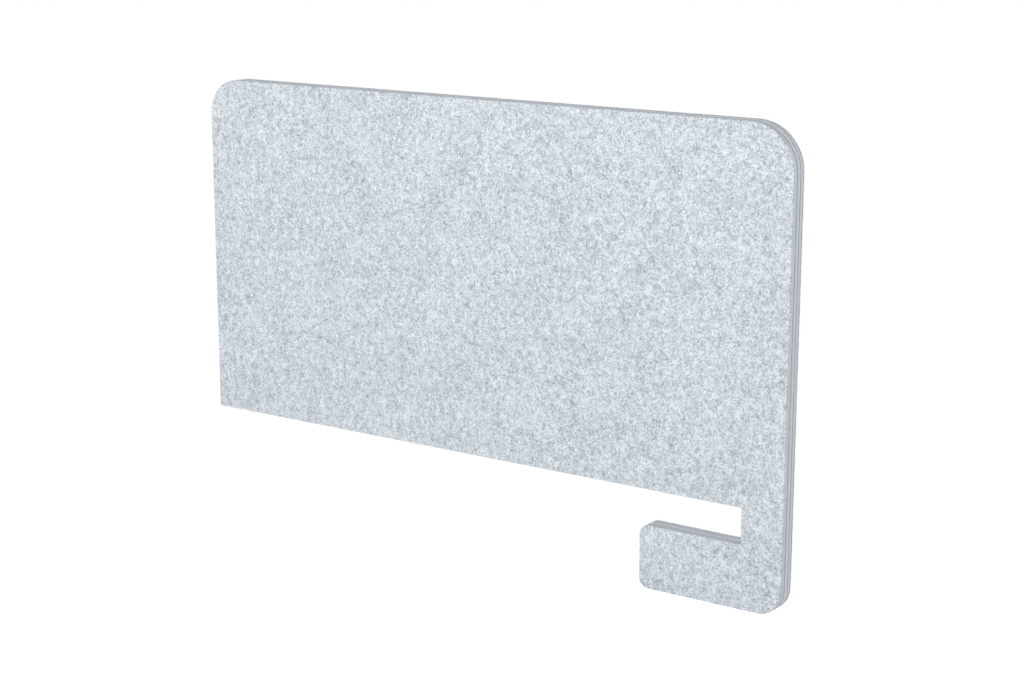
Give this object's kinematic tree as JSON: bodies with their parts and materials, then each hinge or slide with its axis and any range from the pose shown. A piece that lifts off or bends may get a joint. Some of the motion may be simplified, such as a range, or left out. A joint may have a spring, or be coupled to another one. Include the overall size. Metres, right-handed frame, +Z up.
{
  "type": "acoustic divider screen",
  "caption": "Felt-covered acoustic screen with rounded top corners, a side leg and a hook whose slot slides over the edge of a desk top; zipped covers.",
  "frame": {"origin": "closed end of the desk slot, on the plane of the desk top that the panel stands on, midway between the two faces", "axes": "+X along the screen towards the leg's outer edge, +Y from the front face to the rear face, +Z up"},
  "size_m": [1.0049, 0.03, 0.6615],
  "materials": {
    "felt": "melange wool felt, light grey",
    "zip_tape": "woven polyester tape, light grey",
    "fleece": "soft polyester fleece, off-white",
    "infill": "pressed polyester fibre board, pale grey",
    "zip_chain": "moulded coil, matte, light grey",
    "zip_slider_metal": "die-cast zinc, painted light grey, satin",
    "zip_stop_metal": "pressed clip, satin",
    "plywood": "sanded birch plywood",
    "pine": "planed pine",
    "beech": "planed beech"
  },
  "bodies": {
    "screen": {"hook_board": "plywood", "top_rail": "pine", "bottom_rail": "pine", "far_stile": "pine", "middle_stile": "pine", "far_infill": "infill", "leg_infill": "infill", "frame_tenons": "beech", "front_fleece": "fleece", "rear_fleece": "fleece", "front_cover": "felt", "rear_cover": "felt", "front_zip_tape": "zip_tape", "rear_zip_tape": "zip_tape", "front_zip_chain": "zip_chain", "rear_zip_chain": "zip_chain", "zip_end_stops": "zip_stop_metal", "zip_start_stop": "zip_stop_metal"},
    "slider": {"zip_slider": "zip_slider_metal"},
    "pull": {"zip_pull": "zip_slider_metal"}
  },
  "joints": [
    {"name": "zip_slide", "type": "slide", "parent": "screen", "child": "slider", "axis": [0, 0, 1], "range_m": [0, 0.41], "deforming": ["front_zip_chain", "rear_zip_chain"]},
    {"name": "pull_swing", "type": "hinge", "parent": "slider", "child": "pull", "pos_m": [-0.93965, 0, 0.0383], "axis": [0, 1, 0], "range_deg": [0, 175]}
  ]
}
